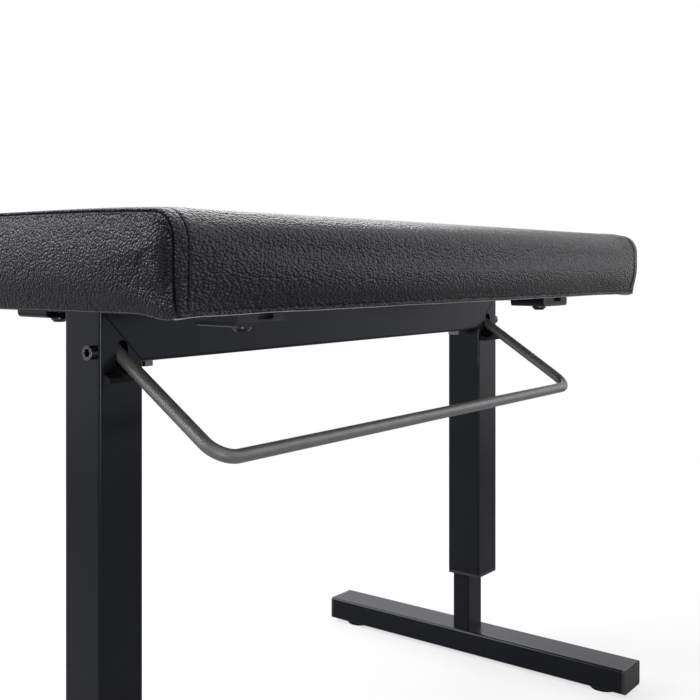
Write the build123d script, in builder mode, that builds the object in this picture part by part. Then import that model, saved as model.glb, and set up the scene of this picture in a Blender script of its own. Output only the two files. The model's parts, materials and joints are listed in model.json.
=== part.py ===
from build123d import *
import os
from math import atan2, cos, degrees, hypot, radians, sin, tan

os.makedirs("parts", exist_ok=True)

# Seat pad: a sewn cover over foam on a board
seat_length = 690
seat_depth = 328
pad_side_height = 62.5
crown_rise = 4.5
end_crown_rise = 2
shoulder_radius = 18
side_draw = 11
side_turn = 32
end_draw = 6
end_bulge = 2
bulge_border = 16
least_round = 1
cover_thickness = 1.5
seam_inset = 6
seam_gap = 0.2
hem_width = 26
foam_gap = 0.3
board_thickness = 12
board_corner = 8
board_gap = 0.6

# Welded portal frame of square tube, shorter than the seat at both ends
seat_overhang = 62
tube_size = 40
tube_wall = 2
tube_corner = 2.5
outer_leg_length = 315

# Seat carriers: flat tubes across the beam, cut shallower between their plugged ends
carrier_inset = 57.25
carrier_hem_gap = 2.9
carrier_width = 53.5
carrier_height = 13.5
carrier_wall = 2.5
carrier_corner = 4
carrier_notch_gap = 0.3
carrier_end_length = 38
carrier_relief = 5.5
plug_length = 7
plug_gap = 0.1
plug_recess_width = 16
plug_recess_height = 4.2
plug_recess_offset = 4
plug_recess_depth = 5

# Seat fasteners
carrier_bolt_diameter = 8
carrier_head_diameter = 14
carrier_head_height = 4.5
carrier_head_bevel = 2.5
beam_bolt_diameter = 8
beam_head_flats = 13
beam_head_height = 5.5
bolt_hole_gap = 0.3
nut_barrel_wall = 1.5
nut_flange_width = 5
nut_flange_thickness = 1.6
nut_gap = 0.1

# Height release lever: a bent round bar on two screws
rod_diameter = 10
lever_reach = 105.5
lever_drop = 67
lever_bend = 18
lever_tail = 20
lever_lift = 20
pivot_drop = 31
pivot_inset = 6.5
pivot_screw_diameter = 6
pivot_head_diameter = 10
pivot_head_height = 6
pivot_socket_flats = 6
pivot_socket_depth = 3
pivot_gap = 0.05
pivot_head_gap = 0.2
thread_gap = 0.05
spacer_diameter = 8.4
spacer_end_gap = 0.3
lever_slot_gap = 0.5
lever_slot_rise = 8
lever_slot_fall = 12.5

# Rubber rests under the lever
rest_width = 35
rest_rib_width = 13
rest_depth = 8
rest_top_drop = 46
rest_front_drop = 49
rest_bottom_drop = 52.5
rest_gap = 0.3
rest_peg_diameter = 6
rest_peg_length = 5
rest_peg_drop = 49

# Telescopic inner legs with a row of latch notches
inner_leg_width = 30
inner_leg_depth = 20
inner_leg_wall = 2
inner_leg_corner = 2
inner_leg_back_gap = 1.5
leg_top_gap = 34
lowest_gap = 63
notch_count = 7
notch_pitch = 20

# Latch: a bolt drawn back by a slotted link from the lever's tail
latch_height = 25
latch_bolt_width = 12
latch_bolt_height = 8
latch_bolt_length = 13
latch_bolt_reach = 2.5
latch_gap = 0.3
cam_pin_diameter = 4
cam_pin_inset = 4.2
cam_slot_gap = 0.3
link_pin_offset = 12.7
link_pin_diameter = 4
link_slot_gap = 0.4
link_thickness = 3
link_width = 9
link_side_gap = 0.5
link_foot_border = 1.7
link_boss_radius = 5

# Plastic guides for the inner legs
bush_flange = 3
bush_height = 45
bush_gap = 0.1
slide_gap = 0.3
glide_height = 16
glide_lip = 3

# Feet
foot_length = 380
foot_width = 40
foot_height = 25
foot_wall = 2
foot_corner = 3
cap_length = 16
cap_lip = 3
cap_gap = 0.1
foot_pad_diameter = 30
foot_pad_thickness = 4
foot_pad_inset = 30
foot_pad_draft = 2

# Levels and places that follow from the sizes above
frame_length = seat_length - 2 * seat_overhang
board_length = seat_length - 2 * (end_draw + cover_thickness + board_gap)
board_depth = seat_depth - 2 * (side_draw + cover_thickness + board_gap)
carrier_length = board_depth - 2 * (hem_width + carrier_hem_gap)
carrier_spacing = frame_length - 2 * carrier_inset
carrier_bolt_x = carrier_spacing / 2
carrier_bolt_y = (carrier_length - carrier_end_length) / 2
beam_bolt_x = carrier_spacing / 2
carrier_bolt_points = [(x, y) for x in (-carrier_bolt_x, carrier_bolt_x) for y in (-carrier_bolt_y, carrier_bolt_y)]
beam_bolt_points = [(-beam_bolt_x, 0), (beam_bolt_x, 0)]
foot_top = foot_pad_thickness + foot_height
outer_leg_bottom = foot_top + lowest_gap + bush_flange
beam_top = outer_leg_bottom + outer_leg_length
beam_bottom = beam_top - tube_size
board_bottom = beam_top + carrier_wall
board_top = board_bottom + board_thickness
hem_bottom = board_bottom - cover_thickness
leg_center = frame_length / 2 - tube_size / 2
leg_front = -tube_size / 2
cavity_half = tube_size / 2 - tube_wall
pivot_y = leg_front + pivot_inset
pivot_z = beam_top - pivot_drop
lever_angle = atan2(lever_drop, lever_reach)
lever_arm = hypot(lever_reach, lever_drop)
lever_angle_lifted = lever_angle - radians(lever_lift)
link_pin_y = pivot_y + link_pin_offset
link_pin_z = pivot_z + link_pin_offset * tan(lever_angle)
link_travel = link_pin_offset * (tan(lever_angle) - tan(lever_angle_lifted))
inner_leg_back = cavity_half - inner_leg_back_gap
inner_leg_front = inner_leg_back - inner_leg_depth
inner_leg_mid = (inner_leg_front + inner_leg_back) / 2
inner_leg_top = pivot_z - leg_top_gap
latch_z = outer_leg_bottom + latch_height
latch_tip_y = inner_leg_front + inner_leg_wall + latch_bolt_reach
cam_pin_y = latch_tip_y - latch_bolt_length + cam_pin_inset
link_inner_x = latch_bolt_width / 2 + link_side_gap
link_outer_x = link_inner_x + link_thickness
cut_margin = 1
left_and_right = (("left", -1), ("right", 1))


def mitre_plane(sign):
    """The plane through a frame corner, facing the beam's side of it."""
    return Plane(origin=(sign * frame_length / 2, 0, beam_top), x_dir=(0, 1, 0), z_dir=(-sign, 0, 1))


def plane_through(like, origin):
    """A plane with the directions of another, through a given point."""
    return Plane(origin=origin, x_dir=like.x_dir, z_dir=like.z_dir)


def hollow_profile(plane, width, height, corner, wall):
    """The section of a tube, round at its outer corners, centred on a plane."""
    with BuildSketch(plane) as profile:
        RectangleRounded(width, height, corner)
        Rectangle(width - 2 * wall, height - 2 * wall, mode=Mode.SUBTRACT)
    return profile.sketch


def end_plane(sign, inset):
    """The leaning plane of one end of the pad, facing outwards, moved in by an inset."""
    lean = atan2(end_draw, pad_side_height)
    end_x = seat_length / 2 - end_draw - inset
    return Plane(
        origin=(sign * end_x, 0, hem_bottom),
        x_dir=(0, sign, 0),
        z_dir=(sign * cos(lean), 0, -sin(lean)),
    )


def pad_outline(plane, inset, crown):
    """The pad's cross-section: sides drawn in to a flat bottom, round shoulders, crowned top."""
    radius = max(shoulder_radius - inset, least_round)
    side = seat_depth / 2 - inset
    shoulder_z = pad_side_height - inset - radius
    hem_y = side - side_draw
    slant = radius * sin(radians(45))
    with BuildSketch(plane) as outline:
        with BuildLine():
            Line((-hem_y, inset), (hem_y, inset))
            TangentArc((side, side_turn), (hem_y, inset), tangent=(0, -1))
            Line((side, side_turn), (side, shoulder_z))
            ThreePointArc(
                (side, shoulder_z),
                (side - radius + slant, shoulder_z + slant),
                (side - radius, shoulder_z + radius),
            )
            if crown > 0:
                ThreePointArc(
                    (side - radius, shoulder_z + radius),
                    (0, shoulder_z + radius + crown),
                    (radius - side, shoulder_z + radius),
                )
            else:
                Line((side - radius, shoulder_z + radius), (radius - side, shoulder_z + radius))
            ThreePointArc(
                (radius - side, shoulder_z + radius),
                (radius - side - slant, shoulder_z + slant),
                (-side, shoulder_z),
            )
            Line((-side, shoulder_z), (-side, side_turn))
            TangentArc((-side, side_turn), (-hem_y, inset), tangent=(0, -1))
        make_face()
    return outline.sketch


def crown_outline(x, inset, crown):
    """The crown's own section at one place along the seat: a chord and the arc above it."""
    half = seat_depth / 2 - inset - max(shoulder_radius - inset, least_round)
    top = pad_side_height - inset
    with BuildSketch(plane_through(Plane.YZ, (x, 0, hem_bottom))) as outline:
        with BuildLine():
            Line((-half, top), (half, top))
            ThreePointArc((half, top), (0, top + crown), (-half, top))
        make_face()
    return outline.sketch


def pad_body(inset):
    """The whole pad, with its outside moved in by an inset."""
    half = seat_length / 2
    with BuildPart() as body:
        extrude(pad_outline(plane_through(Plane.YZ, (-half, 0, hem_bottom)), inset, 0), amount=seat_length)
        loft(
            [
                crown_outline(-half, inset, end_crown_rise),
                crown_outline(0, inset, crown_rise),
                crown_outline(half, inset, end_crown_rise),
            ]
        )
        split(bisect_by=end_plane(-1, inset), keep=Keep.BOTTOM)
        split(bisect_by=end_plane(1, inset), keep=Keep.BOTTOM)
    return body.part


# Beam, cut at 45 degrees to meet the legs
with BuildPart() as beam:
    beam_plane = plane_through(Plane.YZ, (-frame_length / 2, 0, beam_top - tube_size / 2))
    beam_profile = hollow_profile(beam_plane, tube_size, tube_size, tube_corner, tube_wall)
    extrude(beam_profile, amount=frame_length)
    split(bisect_by=mitre_plane(-1), keep=Keep.TOP)
    split(bisect_by=mitre_plane(1), keep=Keep.TOP)
    with BuildSketch(Plane.XY.offset(beam_bottom - cut_margin)):
        with Locations(*beam_bolt_points):
            Circle(beam_bolt_diameter / 2 + bolt_hole_gap)
    extrude(amount=tube_size + 2 * cut_margin, mode=Mode.SUBTRACT)
beam.part.label = "beam"
export_step(beam.part, "parts/beam.step")

# Outer legs, with the lever's slot in front and its screw hole in the outer wall
slot_width = rod_diameter + 2 * lever_slot_gap
slot_length = lever_slot_rise + lever_slot_fall
slot_mid_z = pivot_z + (lever_slot_rise - lever_slot_fall) / 2
for side, sign in left_and_right:
    with BuildPart() as outer_leg:
        leg_plane = plane_through(Plane.XY, (sign * leg_center, 0, outer_leg_bottom))
        leg_profile = hollow_profile(leg_plane, tube_size, tube_size, tube_corner, tube_wall)
        extrude(leg_profile, amount=outer_leg_length)
        split(bisect_by=mitre_plane(sign), keep=Keep.BOTTOM)
        with BuildSketch(Plane.XZ.offset(-leg_front + cut_margin)):
            with Locations((sign * leg_center, slot_mid_z)):
                SlotOverall(slot_length, slot_width, rotation=90)
            with Locations((sign * leg_center, beam_top - rest_peg_drop)):
                Circle(rest_peg_diameter / 2)
        extrude(amount=-(tube_wall + 2 * cut_margin), mode=Mode.SUBTRACT)
        with BuildSketch(Plane.YZ.offset(sign * (frame_length / 2 + cut_margin))):
            with Locations((pivot_y, pivot_z)):
                Circle(pivot_screw_diameter / 2 + pivot_gap)
        extrude(amount=-sign * (tube_wall + 2 * cut_margin), mode=Mode.SUBTRACT)
    outer_leg.part.label = f"outer_leg_{side}"
    export_step(outer_leg.part, f"parts/outer_leg_{side}.step")

# Seat carriers, notched to sit over the beam and relieved between their ends
carrier_mid_z = board_bottom - carrier_height / 2
for side, sign in left_and_right:
    carrier_x = sign * carrier_spacing / 2
    with BuildPart() as seat_carrier:
        carrier_plane = plane_through(Plane.XZ, (carrier_x, carrier_length / 2, carrier_mid_z))
        carrier_profile = hollow_profile(
            carrier_plane, carrier_width, carrier_height, carrier_corner, carrier_wall
        )
        extrude(carrier_profile, amount=carrier_length)
        with BuildSketch(Plane.XY.offset(board_bottom - carrier_height - cut_margin)):
            with Locations((carrier_x, 0)):
                Rectangle(carrier_width + 2 * cut_margin, tube_size + 2 * carrier_notch_gap)
        extrude(amount=carrier_height - carrier_wall + cut_margin, mode=Mode.SUBTRACT)
        with BuildSketch(Plane.XY.offset(board_bottom - carrier_height - cut_margin)):
            with Locations((carrier_x, 0)):
                Rectangle(carrier_width + 2 * cut_margin, carrier_length - 2 * carrier_end_length)
        extrude(amount=carrier_relief + cut_margin, mode=Mode.SUBTRACT)
        with BuildSketch(Plane.XY.offset(board_bottom - carrier_height - cut_margin)):
            with Locations((carrier_x, -carrier_bolt_y), (carrier_x, carrier_bolt_y)):
                Circle(carrier_bolt_diameter / 2 + bolt_hole_gap)
            with Locations((sign * beam_bolt_x, 0)):
                Circle(beam_bolt_diameter / 2 + bolt_hole_gap)
        extrude(amount=carrier_height + 2 * cut_margin, mode=Mode.SUBTRACT)
    seat_carrier.part.label = f"seat_carrier_{side}"
    export_step(seat_carrier.part, f"parts/seat_carrier_{side}.step")

# Plastic plugs in the four carrier ends, each with a moulded recess
plug_width = carrier_width - 2 * carrier_wall - 2 * plug_gap
plug_height = carrier_height - 2 * carrier_wall - 2 * plug_gap
with BuildPart() as carrier_plugs:
    for end in (-1, 1):
        plug_plane = plane_through(Plane.XZ, (0, end * carrier_length / 2, carrier_mid_z))
        with BuildSketch(plug_plane):
            with GridLocations(carrier_spacing, 1, 2, 1):
                Rectangle(plug_width, plug_height)
        extrude(amount=end * plug_length)
        with BuildSketch(plug_plane):
            with Locations((plug_recess_offset, 0)):
                with GridLocations(carrier_spacing, 1, 2, 1):
                    Rectangle(plug_recess_width, plug_recess_height)
        extrude(amount=end * plug_recess_depth, mode=Mode.SUBTRACT)
carrier_plugs.part.label = "carrier_plugs"
export_step(carrier_plugs.part, "parts/carrier_plugs.step")

# Round-headed bolts from the carriers up into the board
bolt_top = board_top - cut_margin
with BuildPart() as carrier_bolts:
    with BuildSketch(Plane.XY.offset(board_bottom - carrier_height)):
        with Locations(*carrier_bolt_points):
            Circle(carrier_head_diameter / 2)
    extrude(amount=-carrier_head_height)
    chamfer(carrier_bolts.edges().group_by(Axis.Z)[0], length=carrier_head_bevel)
    with BuildSketch(Plane.XY.offset(board_bottom - carrier_height)):
        with Locations(*carrier_bolt_points):
            Circle(carrier_bolt_diameter / 2)
    extrude(amount=bolt_top - board_bottom + carrier_height)
carrier_bolts.part.label = "carrier_bolts"
export_step(carrier_bolts.part, "parts/carrier_bolts.step")

# Hexagon bolts through the beam and the carriers' top walls
with BuildPart() as beam_bolts:
    with BuildSketch(Plane.XY.offset(beam_bottom)):
        with Locations(*beam_bolt_points):
            RegularPolygon(beam_head_flats / 2, 6, major_radius=False)
    extrude(amount=-beam_head_height)
    with BuildSketch(Plane.XY.offset(beam_bottom)):
        with Locations(*beam_bolt_points):
            Circle(beam_bolt_diameter / 2)
    extrude(amount=bolt_top - beam_bottom)
beam_bolts.part.label = "beam_bolts"
export_step(beam_bolts.part, "parts/beam_bolts.step")


def nut_halves(bolt_diameter):
    """Barrel radius and half flange width of the square-flanged nut for a bolt."""
    barrel = bolt_diameter / 2 + nut_gap + nut_barrel_wall
    return barrel, barrel + nut_flange_width


def nut_bores(bolt_diameter, points):
    """The stepped holes in the board that take the nuts for one size of bolt."""
    barrel, flange = nut_halves(bolt_diameter)
    with BuildPart() as bores:
        with BuildSketch(Plane.XY.offset(board_top)):
            with Locations(*points):
                Rectangle(2 * (flange + nut_gap), 2 * (flange + nut_gap))
        extrude(amount=-nut_flange_thickness)
        with BuildSketch(Plane.XY.offset(board_top)):
            with Locations(*points):
                Circle(barrel + nut_gap)
        extrude(amount=-board_thickness)
    return bores.part


def flanged_nuts(bolt_diameter, points):
    """Nuts pressed into the board's top, flush with it, one on each bolt."""
    barrel, flange = nut_halves(bolt_diameter)
    with BuildPart() as nuts:
        with BuildSketch(Plane.XY.offset(board_top)):
            with Locations(*points):
                Rectangle(2 * flange, 2 * flange)
        extrude(amount=-nut_flange_thickness)
        with BuildSketch(Plane.XY.offset(board_top)):
            with Locations(*points):
                Circle(barrel)
        extrude(amount=-board_thickness)
        with BuildSketch(Plane.XY.offset(board_top)):
            with Locations(*points):
                Circle(bolt_diameter / 2 + nut_gap)
        extrude(amount=-board_thickness, mode=Mode.SUBTRACT)
    return nuts.part


# Square-flanged nuts in the seat board
with BuildPart() as carrier_nuts:
    add(flanged_nuts(carrier_bolt_diameter, carrier_bolt_points))
carrier_nuts.part.label = "carrier_nuts"
export_step(carrier_nuts.part, "parts/carrier_nuts.step")

with BuildPart() as beam_nuts:
    add(flanged_nuts(beam_bolt_diameter, beam_bolt_points))
beam_nuts.part.label = "beam_nuts"
export_step(beam_nuts.part, "parts/beam_nuts.step")

# Seat board, bored for the nuts
with BuildPart() as seat_board:
    with BuildSketch(Plane.XY.offset(board_bottom)):
        RectangleRounded(board_length, board_depth, board_corner)
    extrude(amount=board_thickness)
    add(nut_bores(carrier_bolt_diameter, carrier_bolt_points), mode=Mode.SUBTRACT)
    add(nut_bores(beam_bolt_diameter, beam_bolt_points), mode=Mode.SUBTRACT)
seat_board.part.label = "seat_board"
export_step(seat_board.part, "parts/seat_board.step")

# Foam block on the board
with BuildPart() as seat_foam:
    add(pad_body(cover_thickness + foam_gap))
    split(bisect_by=Plane.XY.offset(board_top), keep=Keep.TOP)
seat_foam.part.label = "seat_foam"
export_step(seat_foam.part, "parts/seat_foam.step")

# Main cover panel: top, long sides and hem, open at both ends
with BuildPart() as cover_main:
    add(pad_body(0))
    add(pad_body(cover_thickness), mode=Mode.SUBTRACT)
    for sign in (-1, 1):
        end_opening = pad_outline(end_plane(sign, 0), seam_inset, end_crown_rise)
        extrude(end_opening, amount=cover_thickness * 2, both=True, mode=Mode.SUBTRACT)
    with BuildSketch(Plane.XY.offset(hem_bottom - cut_margin)):
        Rectangle(board_length - 2 * hem_width, board_depth - 2 * hem_width)
    extrude(amount=cover_thickness + 2 * cut_margin, mode=Mode.SUBTRACT)
cover_main.part.label = "cover_main"
export_step(cover_main.part, "parts/cover_main.step")

# End panels of the cover, sewn inside the main panel's edge and bulging outwards
for side, sign in left_and_right:
    seam_outline = pad_outline(end_plane(sign, 0), seam_inset + seam_gap, end_crown_rise)
    crest_outline = pad_outline(end_plane(sign, -end_bulge), seam_inset + bulge_border, end_crown_rise)
    with BuildPart() as cover_end:
        extrude(seam_outline, amount=-cover_thickness)
        loft([seam_outline, crest_outline], ruled=True)
    cover_end.part.label = f"cover_end_{side}"
    export_step(cover_end.part, f"parts/cover_end_{side}.step")

# Lever: one bent bar, its ends drilled for the pivot screws and slotted for the links
lever_plane = Plane(
    origin=(0, pivot_y, pivot_z),
    x_dir=(1, 0, 0),
    z_dir=(0, sin(lever_angle), -cos(lever_angle)),
)
pin_at_rest = link_pin_offset / cos(lever_angle)
pin_at_lift = link_pin_offset / cos(lever_angle_lifted)
link_slot_width = link_pin_diameter + 2 * link_slot_gap
link_slot_length = abs(pin_at_rest - pin_at_lift) + link_slot_width
link_slot_mid = (pin_at_rest + pin_at_lift) / 2
with BuildPart() as lever_bar:
    with BuildLine(lever_plane) as lever_path:
        FilletPolyline(
            (-leg_center, -lever_tail),
            (-leg_center, lever_arm),
            (leg_center, lever_arm),
            (leg_center, -lever_tail),
            radius=lever_bend,
        )
    with BuildSketch(Plane(origin=lever_path.line @ 0, z_dir=lever_path.line % 0)):
        Circle(rod_diameter / 2)
    sweep()
    with BuildSketch(Plane.YZ):
        with Locations((pivot_y, pivot_z)):
            Circle(pivot_screw_diameter / 2)
        with Locations(
            (pivot_y + link_slot_mid * cos(lever_angle), pivot_z + link_slot_mid * sin(lever_angle))
        ):
            SlotOverall(link_slot_length, link_slot_width, rotation=degrees(lever_angle))
    extrude(amount=leg_center + rod_diameter, both=True, mode=Mode.SUBTRACT)
lever_bar.part.label = "lever_bar"
export_step(lever_bar.part, "parts/lever_bar.step")

# Socket-head pivot screws through the outer walls into the lever's ends
screw_start = frame_length / 2 + pivot_head_gap
screw_end = leg_center - rod_diameter / 2 + cut_margin
with BuildPart() as pivot_screws:
    for sign in (-1, 1):
        with BuildSketch(Plane.YZ.offset(sign * screw_start)):
            with Locations((pivot_y, pivot_z)):
                Circle(pivot_head_diameter / 2)
        extrude(amount=sign * pivot_head_height)
        with BuildSketch(Plane.YZ.offset(sign * (screw_start + pivot_head_height))):
            with Locations((pivot_y, pivot_z)):
                RegularPolygon(pivot_socket_flats / 2, 6, major_radius=False)
        extrude(amount=-sign * pivot_socket_depth, mode=Mode.SUBTRACT)
        with BuildSketch(Plane.YZ.offset(sign * screw_start)):
            with Locations((pivot_y, pivot_z)):
                Circle(pivot_screw_diameter / 2 - thread_gap)
        extrude(amount=-sign * (screw_start - screw_end))
pivot_screws.part.label = "pivot_screws"
export_step(pivot_screws.part, "parts/pivot_screws.step")

# Spacer sleeves on the screws, between the wall and the lever
spacer_start = frame_length / 2 - tube_wall - spacer_end_gap
spacer_length = spacer_start - leg_center - rod_diameter / 2
with BuildPart() as pivot_spacers:
    for sign in (-1, 1):
        with BuildSketch(Plane.YZ.offset(sign * spacer_start)):
            with Locations((pivot_y, pivot_z)):
                Circle(spacer_diameter / 2)
                Circle(pivot_screw_diameter / 2 + thread_gap, mode=Mode.SUBTRACT)
        extrude(amount=-sign * spacer_length)
pivot_spacers.part.label = "pivot_spacers"
export_step(pivot_spacers.part, "parts/pivot_spacers.step")

# Rubber rests pegged into the legs: a wide base and a rib sloped like the lever
rest_front = leg_front - rest_depth
rod_drop = rod_diameter / 2 / cos(lever_angle) + rest_gap
rest_back_z = pivot_z - pivot_inset * tan(lever_angle) - rod_drop
rest_front_z = pivot_z - (pivot_inset + rest_depth) * tan(lever_angle) - rod_drop
rest_bottom = beam_top - rest_bottom_drop
for side, sign in left_and_right:
    with BuildPart() as lever_rest:
        for width, back_z, front_z in (
            (rest_width, beam_top - rest_top_drop, beam_top - rest_front_drop),
            (rest_rib_width, rest_back_z, rest_front_z),
        ):
            with BuildSketch(Plane.YZ.offset(sign * leg_center)):
                with BuildLine():
                    Polyline(
                        (leg_front, rest_bottom),
                        (leg_front, back_z),
                        (rest_front, front_z),
                        (rest_front, rest_bottom),
                        close=True,
                    )
                make_face()
            extrude(amount=width / 2, both=True)
        with BuildSketch(Plane.XZ.offset(-leg_front)):
            with Locations((sign * leg_center, beam_top - rest_peg_drop)):
                Circle(rest_peg_diameter / 2 - thread_gap)
        extrude(amount=-rest_peg_length)
    lever_rest.part.label = f"lever_rest_{side}"
    export_step(lever_rest.part, f"parts/lever_rest_{side}.step")

# Latch links: cut strips with a pin at the top and a slanted slot at the foot
cam_slot_width = cam_pin_diameter + 2 * cam_slot_gap
cam_slot_length = hypot(link_travel, link_travel)
link_run_y = cam_pin_y - link_travel / 2
link_foot_width = link_travel + cam_slot_width + 2 * link_foot_border
link_bend_z = inner_leg_top + glide_lip + link_travel
for side, sign in left_and_right:
    link_x = sign * (leg_center - link_inner_x)
    with BuildPart() as latch_link:
        with BuildSketch(Plane.YZ.offset(link_x)):
            with Locations((link_run_y, link_bend_z)):
                Circle(link_width / 2)
            with Locations((link_pin_y, link_pin_z)):
                Circle(link_boss_radius)
            make_hull()
            with Locations((link_run_y, (latch_z + link_bend_z) / 2)):
                Rectangle(link_width, link_bend_z - latch_z)
            with Locations((link_run_y, latch_z + link_travel / 2)):
                RectangleRounded(link_foot_width, link_foot_width, link_foot_border)
                SlotCenterToCenter(cam_slot_length, cam_slot_width, rotation=135, mode=Mode.SUBTRACT)
        extrude(amount=-sign * link_thickness)
        with BuildSketch(Plane.YZ.offset(link_x)):
            with Locations((link_pin_y, link_pin_z)):
                Circle(link_pin_diameter / 2)
        extrude(amount=sign * (link_inner_x + rod_diameter / 2 + link_side_gap))
    latch_link.part.label = f"latch_link_{side}"
    export_step(latch_link.part, f"parts/latch_link_{side}.step")

# Latch bolts with a side pin that rides in the link's slot
for side, sign in left_and_right:
    with BuildPart() as latch_bolt:
        with BuildSketch(Plane.XZ.offset(-latch_tip_y)):
            with Locations((sign * leg_center, latch_z)):
                Rectangle(latch_bolt_width, latch_bolt_height)
        extrude(amount=latch_bolt_length)
        with BuildSketch(Plane.YZ.offset(sign * (leg_center - latch_bolt_width / 2))):
            with Locations((cam_pin_y, latch_z)):
                Circle(cam_pin_diameter / 2)
        extrude(amount=-sign * (link_thickness + 2 * link_side_gap))
    latch_bolt.part.label = f"latch_bolt_{side}"
    export_step(latch_bolt.part, f"parts/latch_bolt_{side}.step")

# Inner legs with their latch notches
notch_width = latch_bolt_width + 2 * latch_gap
notch_height = latch_bolt_height + 2 * latch_gap
notch_row_z = latch_z + notch_pitch * (notch_count - 1) / 2
for side, sign in left_and_right:
    with BuildPart() as inner_leg:
        inner_plane = plane_through(Plane.XY, (sign * leg_center, inner_leg_mid, foot_top))
        inner_profile = hollow_profile(
            inner_plane, inner_leg_width, inner_leg_depth, inner_leg_corner, inner_leg_wall
        )
        extrude(inner_profile, amount=inner_leg_top - foot_top)
        with BuildSketch(Plane.XZ.offset(-inner_leg_front + cut_margin)):
            with Locations((sign * leg_center, notch_row_z)):
                with GridLocations(1, notch_pitch, 1, notch_count):
                    Rectangle(notch_width, notch_height)
        extrude(amount=-(inner_leg_wall + 2 * cut_margin), mode=Mode.SUBTRACT)
    inner_leg.part.label = f"inner_leg_{side}"
    export_step(inner_leg.part, f"parts/inner_leg_{side}.step")

# Lower guide bushes: passage for the inner leg, pocket for the bolt, channel for the link
bush_size = 2 * (cavity_half - bush_gap)
bush_top = outer_leg_bottom + bush_height
channel_width = link_thickness + 2 * link_side_gap
channel_back = link_run_y + link_foot_width / 2 + latch_gap
channel_bottom = latch_z - link_foot_width / 2 - link_travel / 2 - latch_gap
for side, sign in left_and_right:
    with BuildPart() as leg_bush:
        with BuildSketch(Plane.XY.offset(outer_leg_bottom - bush_flange)):
            with Locations((sign * leg_center, 0)):
                RectangleRounded(tube_size, tube_size, tube_corner)
        extrude(amount=bush_flange)
        with BuildSketch(Plane.XY.offset(outer_leg_bottom)):
            with Locations((sign * leg_center, 0)):
                Rectangle(bush_size, bush_size)
        extrude(amount=bush_height)
        with BuildSketch(Plane.XY.offset(outer_leg_bottom - bush_flange)):
            with Locations((sign * leg_center, inner_leg_mid)):
                Rectangle(inner_leg_width + 2 * slide_gap, inner_leg_depth + 2 * slide_gap)
        extrude(amount=bush_flange + bush_height, mode=Mode.SUBTRACT)
        with BuildSketch(Plane.XZ.offset(cavity_half)):
            with Locations((sign * leg_center, latch_z)):
                Rectangle(latch_bolt_width + 2 * latch_gap, latch_bolt_height + 2 * latch_gap)
        extrude(amount=-(cavity_half + inner_leg_front), mode=Mode.SUBTRACT)
        with BuildSketch(Plane.XY.offset(bush_top)):
            with Locations((sign * (leg_center - link_inner_x - link_thickness / 2), channel_back)):
                Rectangle(channel_width, cavity_half + channel_back, align=(Align.CENTER, Align.MAX))
        extrude(amount=channel_bottom - bush_top, mode=Mode.SUBTRACT)
    leg_bush.part.label = f"leg_bush_{side}"
    export_step(leg_bush.part, f"parts/leg_bush_{side}.step")

# Glides plugged into the tops of the inner legs, running in the outer legs
glide_size = 2 * (cavity_half - slide_gap)
for side, sign in left_and_right:
    with BuildPart() as leg_glide:
        with BuildSketch(Plane.XY.offset(inner_leg_top)):
            with Locations((sign * leg_center, 0)):
                Rectangle(glide_size, glide_size)
        extrude(amount=glide_lip)
        with BuildSketch(Plane.XY.offset(inner_leg_top)):
            with Locations((sign * leg_center, inner_leg_mid)):
                Rectangle(
                    inner_leg_width - 2 * inner_leg_wall - 2 * bush_gap,
                    inner_leg_depth - 2 * inner_leg_wall - 2 * bush_gap,
                )
        extrude(amount=-glide_height)
        with BuildSketch(Plane.XY.offset(inner_leg_top)):
            with Locations((sign * (leg_center - link_inner_x - link_thickness / 2), inner_leg_front)):
                Rectangle(channel_width, cavity_half + inner_leg_front, align=(Align.CENTER, Align.MAX))
        extrude(amount=glide_lip, mode=Mode.SUBTRACT)
    leg_glide.part.label = f"leg_glide_{side}"
    export_step(leg_glide.part, f"parts/leg_glide_{side}.step")

# Feet: flat tubes across the bench's depth, each under one leg
foot_mid_z = foot_pad_thickness + foot_height / 2
foot_tube_length = foot_length - 2 * cap_lip
for side, sign in left_and_right:
    with BuildPart() as foot:
        foot_plane = plane_through(Plane.XZ, (sign * leg_center, foot_tube_length / 2, foot_mid_z))
        foot_profile = hollow_profile(foot_plane, foot_width, foot_height, foot_corner, foot_wall)
        extrude(foot_profile, amount=foot_tube_length)
    foot.part.label = f"foot_{side}"
    export_step(foot.part, f"parts/foot_{side}.step")

# Plastic caps in the feet's ends
for side, sign in left_and_right:
    with BuildPart() as foot_caps:
        for end in (-1, 1):
            cap_plane = plane_through(Plane.XZ, (sign * leg_center, end * foot_tube_length / 2, foot_mid_z))
            with BuildSketch(cap_plane):
                RectangleRounded(foot_width, foot_height, foot_corner)
            extrude(amount=-end * cap_lip)
            with BuildSketch(cap_plane):
                Rectangle(
                    foot_width - 2 * foot_wall - 2 * cap_gap,
                    foot_height - 2 * foot_wall - 2 * cap_gap,
                )
            extrude(amount=end * cap_length)
    foot_caps.part.label = f"foot_caps_{side}"
    export_step(foot_caps.part, f"parts/foot_caps_{side}.step")

# Rubber pads under the feet
pad_spread = foot_length - 2 * foot_pad_inset
for side, sign in left_and_right:
    with BuildPart() as foot_pads:
        for end in (-1, 1):
            pad_place = Location((sign * leg_center, end * pad_spread / 2, 0))
            with Locations(pad_place):
                Cone(
                    foot_pad_diameter / 2,
                    foot_pad_diameter / 2 - foot_pad_draft,
                    foot_pad_thickness,
                    align=(Align.CENTER, Align.CENTER, Align.MIN),
                )
    foot_pads.part.label = f"foot_pads_{side}"
    export_step(foot_pads.part, f"parts/foot_pads_{side}.step")

# Travel of the moving pieces, for whoever joins them
print("pivot at", pivot_y, pivot_z, "lever angle", round(degrees(lever_angle), 3))
print("link travel for a full lift", round(link_travel, 4), "leg travel", notch_pitch * (notch_count - 1))
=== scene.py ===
import json
import math

import bmesh
import bpy
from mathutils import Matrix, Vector
from mathutils import noise as ripple
from mathutils.bvhtree import BVHTree


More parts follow.
